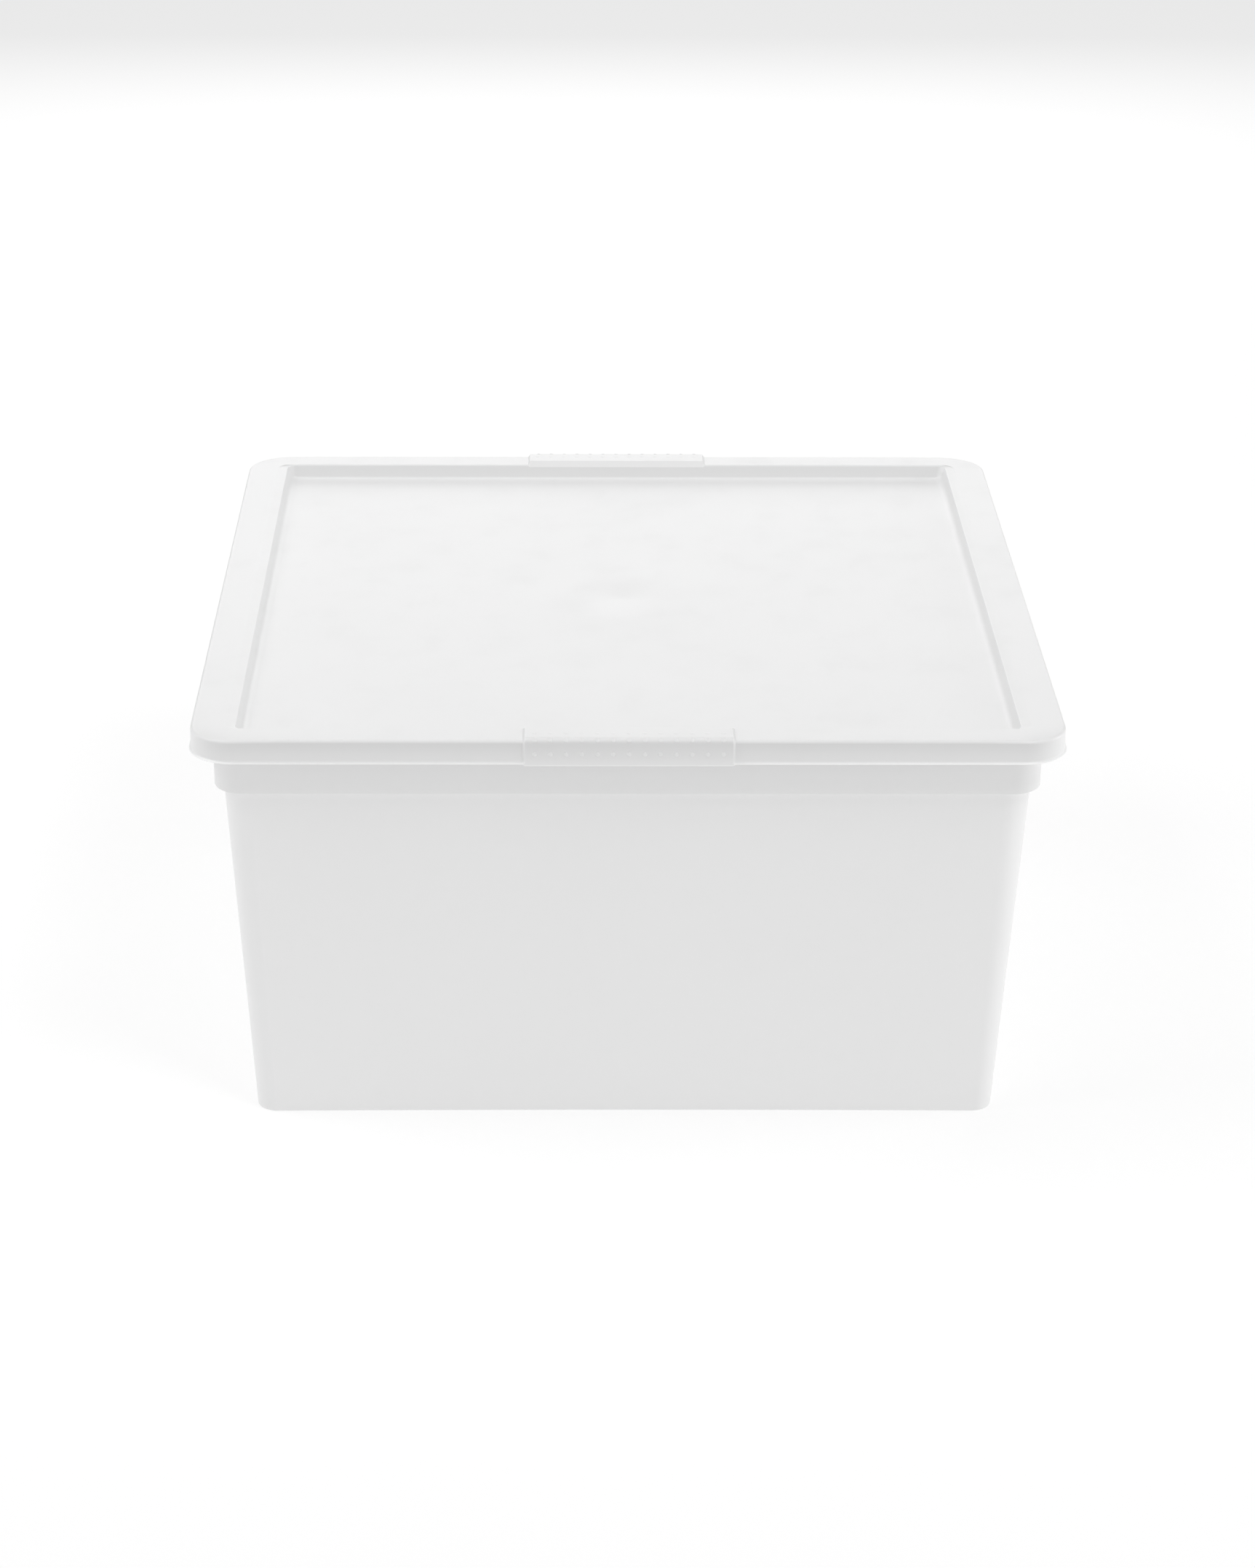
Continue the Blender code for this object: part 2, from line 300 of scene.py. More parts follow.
def lid_corners(border, lead_in, foot_round, hollow=0.0):
    """Corners of the lid's profile, from the underside of the recess round the skirt to its floor."""
    edge = -border - lead_in
    foot = edge - RECESS_RUN
    slope_rounds = min(lead_in, LEAD_IN_DROP)
    return [
        (foot + LID_WALL - LID_UNDER_REACH, -RECESS_DEPTH - LID_WALL, 0, 0),
        (foot + LID_WALL, -RECESS_DEPTH - LID_WALL, 0.0012, 4),
        (edge + LID_WALL, -LID_WALL, 0.0010, 4),
        (-LID_WALL, -LID_WALL, 0.0008, 4),
        (-LID_WALL + SKIRT_DRAFT, -SKIRT_HEIGHT, 0.0003, 2),
        (LIP_FLARE, -SKIRT_HEIGHT, 0.0001, 3),
        (LIP_FLARE, -SKIRT_HEIGHT + LIP_EDGE, 0.00012, 3),
        (LIP_ROOT, -SKIRT_HEIGHT + LIP_HEIGHT, 0.0003, 5),
        (-hollow, -SKIRT_SWEEP_MIDDLE, SKIRT_SWEEP, 8),
        (0.0, 0.0, TOP_EDGE_ROUND, 7),
        (-border, 0.0, slope_rounds, 5),
        (edge, -LEAD_IN_DROP, slope_rounds * 0.5, 5),
        (foot, -RECESS_DEPTH, foot_round, 8),
        (foot - LID_FLOOR_REACH, -RECESS_DEPTH, 0, 0),
    ]


def pad_corners():
    """The lid's profile through a grip pad, corner for corner the same as lid_corners gives."""
    plain = lid_corners(BORDER_END, LEAD_IN_END, FOOT_ROUND_END)
    edge = -BORDER_END - LEAD_IN_END
    bottom = LID_LOW.z - BORDER_Z
    return plain[:4] + [
        (-LID_WALL + PAD_DRAFT, bottom, 0.0003, 2),
        (PAD_PROUD, bottom, 0.0005, 3),
        (PAD_PROUD, -SKIRT_HEIGHT + LIP_EDGE, 0, 3),
        (PAD_PROUD, -SKIRT_HEIGHT + LIP_HEIGHT, 0, 5),
        (PAD_PROUD, -SKIRT_SWEEP_MIDDLE, 0, 8),
        (PAD_PROUD, PAD_RAISE, PAD_EDGE_ROUND, 7),
        (edge + PAD_INNER_SLOPE, PAD_RAISE, 0.0008, 5),
        (edge - PAD_FOOT_IN, -LEAD_IN_DROP - PAD_FOOT_DROP, 0.0003, 5),
    ] + plain[12:]


def lid_corner_radius(out):
    """Corner radius in plan: parallel round the skirt and the border's edge, and tight at the recess."""
    if out > -BORDER_END:
        return LID_CORNER + out
    return max(RECESS_FOOT_CORNER, RECESS_CORNER - RECESS_CORNER_TAPER * (-BORDER_SIDE - out))


def drooped(point):
    """Sinks the outer part of the border, and the skirt with it, towards the lid's four corners."""
    from_end_x, from_end_y = OUTLINE_X - abs(point.x), OUTLINE_Y - abs(point.y)
    along = Vector((from_end_x, from_end_y)).length
    near = smooth_step(1 - (along - LID_CORNER * DROOP_START) / DROOP_REACH)
    corner = Vector((max(0.0, LID_CORNER - from_end_x), max(0.0, LID_CORNER - from_end_y))).length
    edge = corner - LID_CORNER if min(from_end_x, from_end_y) < LID_CORNER else -LID_CORNER
    if min(from_end_x, from_end_y) < LID_CORNER < max(from_end_x, from_end_y):
        edge = -min(from_end_x, from_end_y)
    outwards = smooth_step((edge + DROOP_WIDTH) / DROOP_WIDTH / DROOP_SOFTNESS)
    height = smooth_step((point.z - LID_LOW.z) / (BORDER_Z - LID_LOW.z))
    return Vector((point.x, point.y, point.z - CORNER_DROOP * near * outwards * height))


def middle_rings():
    """Circles from the foot of the lid floor's slight crown into the shallow dish in its middle."""
    rings = []
    angles = [2 * math.pi * turn / MIDDLE_TURN_STEPS for turn in range(MIDDLE_TURN_STEPS)]
    for step in range(MIDDLE_RINGS):
        reach = CROWN_RADIUS * (1 - step / MIDDLE_RINGS)
        rise = CROWN_HEIGHT * smooth_step(1 - reach / CROWN_RADIUS)
        sink = DISH_DEPTH * max(0.0, 1 - reach / DISH_RADIUS) ** DISH_CURVE
        height = BORDER_Z - RECESS_DEPTH + rise - sink
        rings.append([Vector((reach * math.cos(angle), reach * math.sin(angle), height)) for angle in angles])
    return rings


def make_lid(materials):
    lift = Vector((0.0, BORDER_Z))
    tables = (
        lid_corners(BORDER_SIDE, LEAD_IN_SIDE, FOOT_ROUND_SIDE),
        lid_corners(BORDER_END, LEAD_IN_END, FOOT_ROUND_END, SKIRT_HOLLOW),
        pad_corners(),
    )
    profiles = fuller([[place + lift for place in rounded(corners)] for corners in tables], LONGEST_STEP)
    rings = []
    for side, end, pad in zip(*profiles):
        points = ring(side, end, lid_corner_radius(max(side.x, end.x)), pad)
        rings.append([drooped(point) for point in points])
    low = profiles[0][0].y
    underside = inner_rings(rings[0], LID_UNDER_CIRCLES, low)
    mesh = bmesh.new()
    loops = add_strips(mesh, list(reversed(underside)) + rings)
    add_fan(mesh, loops[0], turned=True)
    middle = add_strips(mesh, middle_rings())
    add_fan(mesh, middle[-1])
    bmesh.ops.bridge_loops(mesh, edges=loop_edges(mesh, loops[-1]) + loop_edges(mesh, middle[0]))
    return finish_piece("lid_moulding", mesh, "lid", materials, "lid")


# ---- Tub ----

def tub_corners():
    """Corners of the tub's profile, from the middle of the base round the rim to the inside floor."""
    ledge = BORDER_Z - COLLAR_DROP
    body = COLLAR_EDGE - COLLAR_LEAN - LEDGE
    foot = BASE_EDGE - BASE_ROUND - FOOT_WIDTH
    flange = RIM_TOP - RIM_WALL
    rim_inner = RIM_EDGE - RIM_WALL
    floor = FOOT_HEIGHT + TUB_FLOOR
    inner = COLLAR_EDGE - TUB_WALL
    return [
        (foot - TUB_UNDER_REACH, FOOT_HEIGHT, 0, 0),
        (foot - FOOT_HEIGHT, FOOT_HEIGHT, 0.0006, 3),
        (foot, 0.0, 0.0006, 3),
        (BASE_EDGE - BASE_TUCK, 0.0, BASE_ROUND, 7),
        (body, ledge, 0.0004, 3),
        (COLLAR_EDGE - COLLAR_LEAN, ledge, 0.0003, 4),
        (COLLAR_EDGE, flange, 0.0006, 3),
        (rim_inner, flange, 0.0005, 3),
        (rim_inner, RIM_TOP - RIM_LIP_DROP, 0.0003, 2),
        (RIM_EDGE, RIM_TOP - RIM_LIP_DROP, 0.0003, 2),
        (RIM_EDGE, RIM_TOP, 0.0010, 5),
        (inner, RIM_TOP, 0.0008, 5),
        (inner - COLLAR_LEAN, ledge + TUB_WALL, 0.0010, 4),
        (body - TUB_WALL, ledge + TUB_WALL, 0.0010, 4),
        (BASE_EDGE - TUB_WALL, floor, BASE_ROUND, 6),
        (BASE_EDGE - TUB_WALL - TUB_FLOOR_REACH, floor, 0, 0),
    ]


def tub_corner_radius(place):
    """Corner radius in plan: smallest at the base, and parallel to the lid's corner at the rim."""
    if place.x > COLLAR_EDGE + SAME_PLACE:
        return LID_CORNER + place.x
    ledge = BORDER_Z - COLLAR_DROP
    if place.y > ledge - SAME_PLACE:
        outer, wall = COLLAR_CORNER, COLLAR_EDGE
    else:
        share = max(0.0, min(1.0, place.y / ledge))
        outer = BASE_CORNER + (BODY_CORNER - BASE_CORNER) * share
        wall = BASE_EDGE + (COLLAR_EDGE - COLLAR_LEAN - LEDGE - BASE_EDGE) * share
    return max(SMALLEST_TUB_CORNER, outer + min(0.0, place.x - wall))


def wall_bow(along, outwards, height):
    """How far a tub wall draws in at a place: nothing at the ledge, and most at mid-length near the base."""
    near_wall = smooth_step((outwards - BOW_START) / BOW_RUN)
    return WALL_BOW * along * near_wall * smooth_step((1 - height) / BOW_FADE)


def bowed(point):
    """Draws the middle of each tub wall in and lifts the middle of the base's edges."""
    height = point.z / (BORDER_Z - COLLAR_DROP)
    if height >= 1:
        return point
    share_x, share_y = abs(point.x) / OUTLINE_X, abs(point.y) / OUTLINE_Y
    along_x, along_y = max(0.0, 1 - share_x ** 2), max(0.0, 1 - share_y ** 2)
    in_x = wall_bow(along_y, share_x, height)
    in_y = wall_bow(along_x, share_y, height)
    lift = BASE_BOW * max(along_x * share_y ** 2, along_y * share_x ** 2)
    lift *= smooth_step(1 - height / BASE_BOW_FADE)
    return Vector((
        point.x - math.copysign(in_x, point.x),
        point.y - math.copysign(in_y, point.y),
        point.z + lift,
    ))


def make_tub(materials):
    profile = fuller([rounded(tub_corners())], WALL_ROW)[0]
    rings = [ring(place, place, tub_corner_radius(place)) for place in profile]
    base = inner_rings(rings[0], TUB_CIRCLES, FOOT_HEIGHT)
    floor = inner_rings(rings[-1], TUB_CIRCLES, rings[-1][0].z)
    mesh = bmesh.new()
    skin = list(reversed(base)) + rings + floor
    loops = add_strips(mesh, [[bowed(point) for point in points] for points in skin])
    add_fan(mesh, loops[0], turned=True)
    add_fan(mesh, loops[-1])
    return finish_piece("tub_moulding", mesh, "tub", materials, "tub")


# ---- Grip knobs ----

KNOB_SIZES = ("Pad Half Width", "End Margin", "Knob Radius", "Top Knob Height", "Edge Knob Height",
              "Face Knob Height", "Pad Front", "Pad Top", "Edge Round", "Top Row Inset", "Face Row Drop")


class NodeMaker:
    """Adds nodes to a tree and links them."""

    def __init__(self, tree):
        self.tree = tree

    def add(self, kind, links=None, **values):
        node = self.tree.nodes.new(kind)
        for name, value in values.items():
            setattr(node, name, value)
        for socket, source in (links or {}).items():
            target = node.inputs[socket]
            if isinstance(source, bpy.types.NodeSocket):
                self.tree.links.new(source, target)
            else:
                target.default_value = source
        return node

    def math(self, operation, first, second=0.0, third=0.0):
        return self.add("ShaderNodeMath", {0: first, 1: second, 2: third}, operation=operation).outputs[0]

    def combine(self, x, y, z):
        return self.add("ShaderNodeCombineXYZ", {0: x, 1: y, 2: z}).outputs[0]

    def separate(self, vector):
        return self.add("ShaderNodeSeparateXYZ", {0: vector}).outputs

    def noise(self, place, scale, detail, roughness=0.5):
        sizes = {"Vector": place, "Scale": scale, "Detail": detail, "Roughness": roughness}
        return self.add("ShaderNodeTexNoise", sizes).outputs["Fac"]

    def share(self, value, low, high):
        """How far a value has got from low to high, held between 0 and 1."""
        limits = {"Value": value, "From Min": low, "From Max": high}
        return self.add("ShaderNodeMapRange", limits).outputs[0]


def add_knob_row(maker, given, dome, across, height, tilt, knob_height):
    """A row of knobs along x: each a dome whose lower part is sunk in the pad, leaning by tilt."""
    first = maker.math("SUBTRACT", given["End Margin"], given["Pad Half Width"])
    gaps = maker.math("SUBTRACT", given["Columns"], 1.0)
    pitch = maker.math("DIVIDE", maker.math("MULTIPLY", first, -2.0), gaps)
    dome_radius = maker.math("DIVIDE", given["Knob Radius"], math.sqrt(1 - KNOB_ROOT_SHARE ** 2))
    dome_height = maker.math("DIVIDE", knob_height, 1 - KNOB_ROOT_SHARE)
    dome_size = maker.combine(dome_radius, dome_radius, dome_height)
    sinking = maker.combine(0.0, 0.0, maker.math("MULTIPLY", dome_height, -KNOB_ROOT_SHARE))
    knob = maker.add("GeometryNodeTransform",
                     {"Geometry": dome, "Scale": dome_size, "Translation": sinking}).outputs[0]
    start = maker.combine(first, maker.math("MULTIPLY", across, -1.0), height)
    offset = maker.combine(pitch, 0.0, 0.0)
    line = maker.add("GeometryNodeMeshLine",
                     {"Count": given["Columns"], "Start Location": start, "Offset": offset}).outputs[0]
    return maker.add("GeometryNodeInstanceOnPoints",
                     {"Points": line, "Instance": knob, "Rotation": (tilt, 0.0, 0.0)}).outputs[0]


def join(maker, parts):
    joined = maker.add("GeometryNodeJoinGeometry")
    for part in parts:
        maker.tree.links.new(part, joined.inputs[0])
    return joined.outputs[0]


def knob_tree():
    """Geometry nodes that set rows of domed knobs on the front and the back grip pad."""
    tree = bpy.data.node_groups.new("grip_knob_rows", "GeometryNodeTree")
    maker = NodeMaker(tree)
    tree.interface.new_socket("Columns", in_out="INPUT", socket_type="NodeSocketInt")
    for size in KNOB_SIZES:
        tree.interface.new_socket(size, in_out="INPUT", socket_type="NodeSocketFloat")
    tree.interface.new_socket("Plastic", in_out="INPUT", socket_type="NodeSocketMaterial")
    tree.interface.new_socket("Geometry", in_out="OUTPUT", socket_type="NodeSocketGeometry")
    given = tree.nodes.new("NodeGroupInput").outputs
    dome = maker.add("GeometryNodeMeshUVSphere",
                     {"Segments": KNOB_SEGMENTS, "Rings": KNOB_RINGS, "Radius": 1.0}).outputs["Mesh"]
    pad_front, pad_top = given["Pad Front"], given["Pad Top"]
    edge_inset = maker.math("MULTIPLY", given["Edge Round"], 1 - math.sqrt(0.5))
    top_across = maker.math("SUBTRACT", pad_front, given["Top Row Inset"])
    edge_across = maker.math("SUBTRACT", pad_front, edge_inset)
    edge_height = maker.math("SUBTRACT", pad_top, edge_inset)
    face_height = maker.math("SUBTRACT", pad_top, given["Face Row Drop"])
    one_pad = join(maker, [
        add_knob_row(maker, given, dome, top_across, pad_top, 0.0, given["Top Knob Height"]),
        add_knob_row(maker, given, dome, edge_across, edge_height, math.pi / 4, given["Edge Knob Height"]),
        add_knob_row(maker, given, dome, pad_front, face_height, math.pi / 2, given["Face Knob Height"]),
    ])
    turned = maker.add("GeometryNodeTransform", {"Geometry": one_pad, "Rotation": (0, 0, math.pi)}).outputs[0]
    real = maker.add("GeometryNodeRealizeInstances", {"Geometry": join(maker, [one_pad, turned])}).outputs[0]
    smooth = maker.add("GeometryNodeSetShadeSmooth", {"Geometry": real}).outputs[0]
    painted = maker.add("GeometryNodeSetMaterial", {"Geometry": smooth, "Material": given["Plastic"]})
    out = tree.nodes.new("NodeGroupOutput")
    tree.links.new(painted.outputs[0], out.inputs["Geometry"])
    return tree


def make_knobs(material):
    source = bpy.data.objects.new("knob_source", bpy.data.meshes.new("knob_source"))
    bpy.context.scene.collection.objects.link(source)
    tree = knob_tree()
    modifier = source.modifiers.new("knob_rows", "NODES")
    modifier.node_group = tree
    values = {
        "Columns": KNOB_COLUMNS,
        "Pad Half Width": PAD_HALF,
        "End Margin": KNOB_END_MARGIN,
        "Knob Radius": KNOB_RADIUS,
        "Top Knob Height": TOP_KNOB_HEIGHT * WORN_SHARE,
        "Edge Knob Height": EDGE_KNOB_HEIGHT * WORN_SHARE,
        "Face Knob Height": FACE_KNOB_HEIGHT,
        "Pad Front": PAD_FRONT,
        "Pad Top": BORDER_Z + PAD_RAISE,
        "Edge Round": PAD_EDGE_ROUND,
        "Top Row Inset": KNOB_FROM_FRONT,
        "Face Row Drop": KNOB_FROM_TOP,
        "Plastic": material,
    }
    for socket in tree.interface.items_tree:
        if socket.name in values:
            modifier[socket.identifier] = values[socket.name]
    shown = source.evaluated_get(bpy.context.evaluated_depsgraph_get())
    data = bpy.data.meshes.new_from_object(shown)
    data.name = "grip_knobs"
    bpy.data.objects.remove(source)
    piece = bpy.data.objects.new("grip_knobs", data)
    bpy.context.scene.collection.objects.link(piece)
    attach(piece, "lid")
    return piece


# ---- Materials ----

PLASTIC_IOR = 1.49
WAVE_SCALE = 9.0
TONE_SCALE = 14.0
TONE_SHADE = 0.012              # how much slow changes of tone alter the colour
TONE_ROUGHNESS = 0.06           # and the roughness
RUB_SCALE = 60.0
RUB_LIMITS = (0.5, 0.75)
RUB_SHADE = -0.008
RUB_ROUGHNESS = 0.10
EDGE_LIMITS = (0.505, 0.56)
EDGE_POLISH = 0.03              # how much smoother handling has made the raised edges
FACING_POWER = 4.0              # keeps the painted shade off the left and right walls and the corners
# height of the painted highlight along the lid's lip
LIP_HIGHLIGHT_HEIGHT = 0.0017
LIP_HIGHLIGHT_LIMIT_Y = PAD_FRONT - 0.00015       # the lip's painted highlight ends at the grip pads, which stand further out
LIGHTEST = 1.16
SKIRT_BOTTOM = BORDER_Z - SKIRT_HEIGHT
SKIRT_TOP = BORDER_Z - 0.0015

SURFACE_INPUTS = (("Colour", "Color"), ("Roughness", "Float"), ("Grain Size", "Float"),
                  ("Grain Depth", "Float"), ("Wave Depth", "Float"), ("Rubbing", "Float"),
                  ("Painted Edge Light And Shade", "Float"), ("Painted Shade Depth", "Float"), ("Shade Low", "Float"),
                  ("Shade High", "Float"), ("Lip Painted Highlight", "Float"))
SURFACE_OUTPUTS = (("Colour", "Color"), ("Roughness", "Float"), ("Normal", "Vector"))

# Raised edges get a painted highlight on the lid, and a painted shade on the tub.
# The front and back walls get a painted shade that deepens from Shade Low up to Shade High: below the lid's
# lip on the tub's collar, and towards the top on the lid's skirt and the knobs.
LID_PLASTIC = {
    "Colour": (0.83, 0.83, 0.83, 1.0),
    "Roughness": 0.34,
    "Grain Size": 0.0006,
    "Grain Depth": 0.000015,
    "Wave Depth": 0.0006,
    "Rubbing": 1.0,
    # a painted highlight along the lid's raised edges
    "Painted Edge Light And Shade": 0.08,
    # painted shade towards the top of the skirt
    "Painted Shade Depth": 0.12,
    "Shade Low": SKIRT_BOTTOM,
    "Shade High": SKIRT_TOP,
    # a painted highlight along the lid's lip
    "Lip Painted Highlight": 0.20,
}
TUB_PLASTIC = {
    "Colour": (0.875, 0.875, 0.875, 1.0),
    "Roughness": 0.40,
    "Grain Size": 0.0006,
    "Grain Depth": 0.000020,
    "Wave Depth": 0.0006,
    "Rubbing": 0.5,
    # a painted shade along the tub's edges, such as the dark line at the collar's lower edge
    "Painted Edge Light And Shade": -0.10,
    # painted shade on the collar below the lid's lip
    "Painted Shade Depth": 0.04,
    "Shade Low": BORDER_Z - COLLAR_DROP,
    "Shade High": SKIRT_BOTTOM,
    "Lip Painted Highlight": 0.0,
}
KNOB_PLASTIC = {
    "Colour": LID_PLASTIC["Colour"],
    "Roughness": 0.36,
    "Grain Size": 0.0004,
    "Grain Depth": 0.000008,
    "Wave Depth": 0.0,
    "Rubbing": 1.0,
    "Painted Edge Light And Shade": 0.0,
    "Painted Shade Depth": 0.04,
    "Shade Low": SKIRT_BOTTOM,
    "Shade High": SKIRT_TOP,
    "Lip Painted Highlight": 0.0,
}


def painted_wall_shade(maker, given, height):
    """Painted shade: how much darker a front or back wall is painted at a height."""
    facing = maker.separate(maker.add("ShaderNodeNewGeometry").outputs["True Normal"])
    upright = maker.math("SUBTRACT", 1.0, maker.math("ABSOLUTE", facing["Z"]))
    frontal = maker.math("POWER", maker.math("ABSOLUTE", facing["Y"]), FACING_POWER)
    rise = maker.share(height, given["Shade Low"], given["Shade High"])
    wall = maker.math("MULTIPLY", maker.math("MULTIPLY", upright, frontal), rise)
    return maker.math("MULTIPLY", wall, given["Painted Shade Depth"])


def painted_lip_highlight(maker, given, place):
    """A painted highlight: how much lighter the thin lip along the foot of the lid's skirt is painted."""
    lip_top = maker.math("ADD", given["Shade Low"], LIP_HIGHLIGHT_HEIGHT)
    lip = maker.share(place["Z"], lip_top, given["Shade Low"])
    within = maker.math("LESS_THAN", maker.math("ABSOLUTE", place["Y"]), LIP_HIGHLIGHT_LIMIT_Y)
    return maker.math("MULTIPLY", maker.math("MULTIPLY", lip, within), given["Lip Painted Highlight"])


def surface_roughness(maker, given, tone, marks, edges):
    polished = maker.math("MULTIPLY", maker.math("MULTIPLY", edges, given["Rubbing"]), EDGE_POLISH)
    rough = maker.math("MULTIPLY_ADD", tone, TONE_ROUGHNESS, given["Roughness"])
    rough = maker.math("MULTIPLY_ADD", marks, RUB_ROUGHNESS, rough)
    return maker.math("SUBTRACT", rough, polished)


def surface_colour(maker, given, tone, marks, edges, place):
    shade = maker.math("MULTIPLY_ADD", tone, TONE_SHADE, 1.0)
    shade = maker.math("MULTIPLY_ADD", marks, RUB_SHADE, shade)
    # painted highlight along raised edges; a negative value paints shade there instead
    shade = maker.math("MULTIPLY_ADD", edges, given["Painted Edge Light And Shade"], shade)
    # painted shade on the front and back walls
    shade = maker.math("SUBTRACT", shade, painted_wall_shade(maker, given, place["Z"]))
    # painted highlight along the lid's lip
    shade = maker.math("MINIMUM", maker.math("ADD", shade, painted_lip_highlight(maker, given, place)), LIGHTEST)
    tint = maker.combine(shade, shade, shade)
    return maker.add("ShaderNodeVectorMath", {0: given["Colour"], 1: tint}, operation="MULTIPLY").outputs[0]


def surface_normal(maker, given, place):
    """Fine spark grain on top of faint flow waves."""
    wave = maker.noise(place, WAVE_SCALE, 1.0)
    grain = maker.noise(place, maker.math("DIVIDE", 1.0, given["Grain Size"]), 2.0, 0.6)
    waves = maker.add("ShaderNodeBump", {"Strength": 1.0, "Distance": given["Wave Depth"], "Height": wave})
    grained = maker.add("ShaderNodeBump", {"Strength": 1.0, "Distance": given["Grain Depth"],
                                           "Height": grain, "Normal": waves.outputs[0]})
    return grained.outputs[0]


def moulded_group():
    """A shader group for moulded plastic: fine spark grain, faint flow waves, rubbed spots and tone, with
    painted highlights on raised edges and the lid's lip and painted shade on front and back walls.
    """
    tree = bpy.data.node_groups.new("moulded_plastic_surface", "ShaderNodeTree")
    maker = NodeMaker(tree)
    for name, kind in SURFACE_INPUTS:
        tree.interface.new_socket(name, in_out="INPUT", socket_type="NodeSocket" + kind)
    for name, kind in SURFACE_OUTPUTS:
        tree.interface.new_socket(name, in_out="OUTPUT", socket_type="NodeSocket" + kind)
    given = tree.nodes.new("NodeGroupInput").outputs
    place = maker.add("ShaderNodeTexCoord").outputs["Object"]
    tone = maker.math("SUBTRACT", maker.noise(place, TONE_SCALE, 3.0), 0.5)
    rubbed = maker.share(maker.noise(place, RUB_SCALE, 6.0, 0.7), *RUB_LIMITS)
    marks = maker.math("MULTIPLY", rubbed, given["Rubbing"])
    edges = maker.share(maker.add("ShaderNodeNewGeometry").outputs["Pointiness"], *EDGE_LIMITS)
    results = {
        "Colour": surface_colour(maker, given, tone, marks, edges, maker.separate(place)),
        "Roughness": surface_roughness(maker, given, tone, marks, edges),
        "Normal": surface_normal(maker, given, place),
    }
    out = tree.nodes.new("NodeGroupOutput")
    for name, source in results.items():
        tree.links.new(source, out.inputs[name])
    return tree


def plastic(name, group, values):
    """A moulded plastic with its own values for the surface group."""
    material = bpy.data.materials.new(name)
    material.use_nodes = True
    tree = material.node_tree
    shader = tree.nodes["Principled BSDF"]
    shader.inputs["IOR"].default_value = PLASTIC_IOR
    surface = tree.nodes.new("ShaderNodeGroup")
    surface.node_tree = group
    for socket, value in values.items():
        surface.inputs[socket].default_value = value
    for source, target in (("Colour", "Base Color"), ("Roughness", "Roughness"), ("Normal", "Normal")):
        tree.links.new(surface.outputs[source], shader.inputs[target])
    return material


# ---- Studio ----

CAMERA_PLACE = Vector((-0.0334, -1.7453, BORDER_Z + 0.6587))
CAMERA_PITCH = math.radians(22.93)
CAMERA_YAW = math.radians(-0.48)
CAMERA_ROLL = math.radians(0.22)
CAMERA_SENSOR = 36.0
CAMERA_LENS = 85.8
CAMERA_SHIFT = (0.0279, -0.0333)


def make_camera():
    data = bpy.data.cameras.new("camera")
    data.sensor_width = CAMERA_SENSOR
    data.lens = CAMERA_LENS
    data.shift_x, data.shift_y = CAMERA_SHIFT
    camera = bpy.data.objects.new("camera", data)
    bpy.context.scene.collection.objects.link(camera)
    sin_p, cos_p = math.sin(CAMERA_PITCH), math.cos(CAMERA_PITCH)
    sin_y, cos_y = math.sin(CAMERA_YAW), math.cos(CAMERA_YAW)
    forward = Vector((-sin_y * cos_p, cos_y * cos_p, -sin_p))
    right = Vector((cos_y, sin_y, 0.0))
    down = Vector((sin_y * sin_p, -cos_y * sin_p, -cos_p))
    axis_x = right * math.cos(CAMERA_ROLL) - down * math.sin(CAMERA_ROLL)
    axis_y = -(right * math.sin(CAMERA_ROLL) + down * math.cos(CAMERA_ROLL))
    turn = Matrix((axis_x, axis_y, -forward)).transposed()
    camera.matrix_world = Matrix.Translation(CAMERA_PLACE) @ turn.to_4x4()
    bpy.context.scene.camera = camera


def make_light(name, place, size, power):
    data = bpy.data.lights.new(name, "AREA")
    data.shape = "RECTANGLE"
    data.size, data.size_y = size
    data.energy = power
    light = bpy.data.objects.new(name, data)
    bpy.context.scene.collection.objects.link(light)
    light.location = place
    light.rotation_euler = (LIGHT_TARGET - Vector(place)).to_track_quat("-Z", "Y").to_euler()


# Brightness of the sky towards three sides, and of the floor's own glow
SKY_FRONT = 0.39
SKY_RIGHT = 0.70
SKY_LEFT = 0.73
FLOOR_GLOW = 0.60
FLOOR_COLOUR = 0.45
FLOOR_ROUGHNESS = 0.9
FLOOR_HALF_WIDTH = 8.0
LIGHT_TARGET = Vector((0.0, 0.0, 0.1))

# Soft boxes: place, width and height, and power in watts
SOFT_BOXES = {
    "top_soft_box": ((0.0, 0.3, 1.9), (2.0, 1.6), 7.6),
    "back_soft_box": ((0.0, 1.9, 0.78), (1.6, 0.8), 7.3),
    "left_soft_box": ((-1.2, -0.1, 1.6), (1.2, 1.2), 8.9),
    "low_right_soft_box": ((1.9, 0.1, 0.45), (0.8, 0.8), 6.0),
    "key_light": ((0.8, -1.0, 1.9), (0.7, 0.7), 8.5),
}


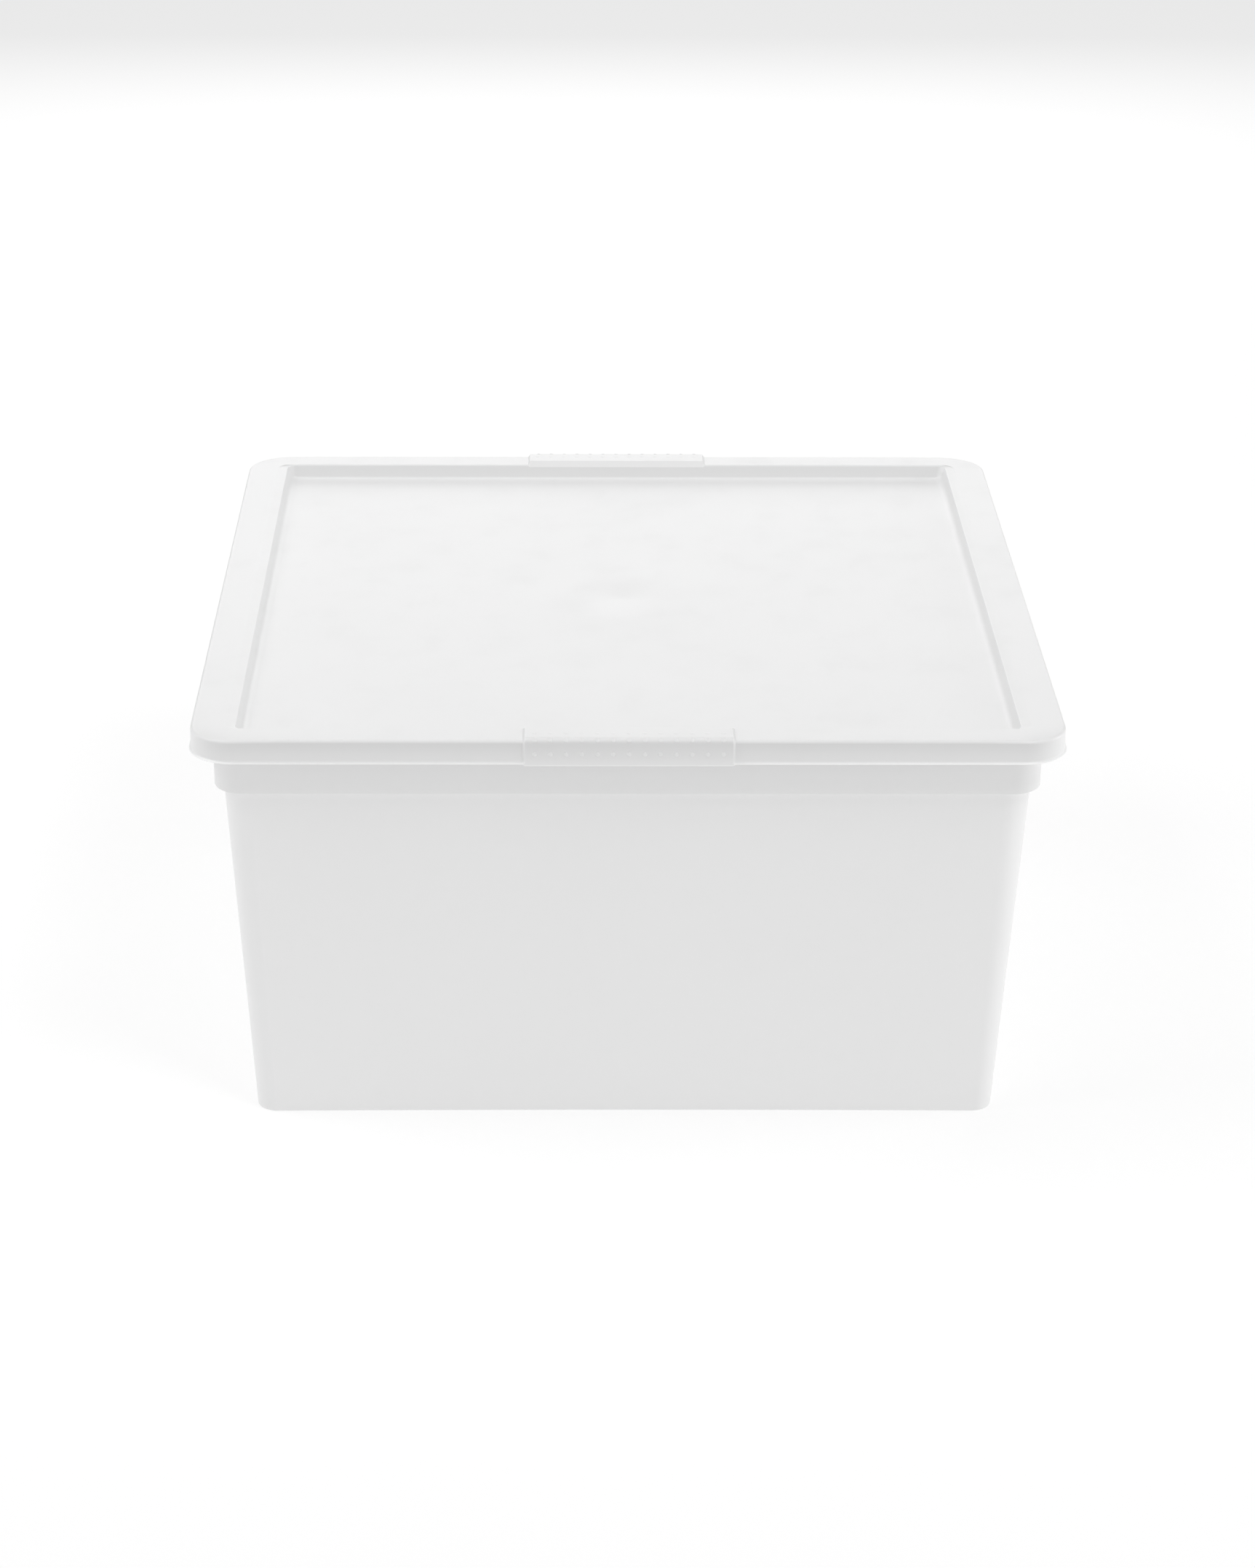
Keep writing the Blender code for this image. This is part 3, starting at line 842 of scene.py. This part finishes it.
def make_sky():
    world = bpy.data.worlds.new("studio")
    world.use_nodes = True
    bpy.context.scene.world = world
    maker = NodeMaker(world.node_tree)
    direction = maker.add("ShaderNodeTexCoord").outputs["Generated"]
    along = maker.separate(direction)
    strength = 0.0
    for axis, sign, amount in ((1, -1.0, SKY_FRONT), (0, 1.0, SKY_RIGHT), (0, -1.0, SKY_LEFT)):
        facing = maker.math("MAXIMUM", maker.math("MULTIPLY", along[axis], sign), 0.0)
        strength = maker.math("MULTIPLY_ADD", facing, amount, strength)
    background = world.node_tree.nodes["Background"]
    background.inputs["Color"].default_value = (1.0, 1.0, 1.0, 1.0)
    world.node_tree.links.new(strength, background.inputs["Strength"])


def make_floor():
    mesh = bmesh.new()
    bmesh.ops.create_grid(mesh, x_segments=1, y_segments=1, size=FLOOR_HALF_WIDTH)
    data = bpy.data.meshes.new("floor")
    mesh.to_mesh(data)
    mesh.free()
    floor = bpy.data.objects.new("floor", data)
    bpy.context.scene.collection.objects.link(floor)
    material = bpy.data.materials.new("pale_floor")
    material.use_nodes = True
    shader = material.node_tree.nodes["Principled BSDF"]
    shader.inputs["Base Color"].default_value = (FLOOR_COLOUR, FLOOR_COLOUR, FLOOR_COLOUR, 1.0)
    shader.inputs["Roughness"].default_value = FLOOR_ROUGHNESS
    shader.inputs["Specular IOR Level"].default_value = 0.0
    shader.inputs["Emission Color"].default_value = (1.0, 1.0, 1.0, 1.0)
    shader.inputs["Emission Strength"].default_value = FLOOR_GLOW
    data.materials.append(material)


def make_studio():
    """A pale floor with a glow of its own, like a lit shooting table, a light sky and soft boxes."""
    make_sky()
    make_floor()
    for name, (place, size, power) in SOFT_BOXES.items():
        make_light(name, place, size, power)
    bpy.context.scene.view_settings.view_transform = "Standard"


def main():
    make_camera()
    make_studio()
    surface = moulded_group()
    lid_plastic = plastic("satin_white_lid", surface, LID_PLASTIC)
    tub_plastic = plastic("satin_white_tub", surface, TUB_PLASTIC)
    knob_plastic = plastic("satin_white_knobs", surface, KNOB_PLASTIC)
    make_lid([lid_plastic])
    make_tub([tub_plastic])
    make_knobs(knob_plastic)


main()
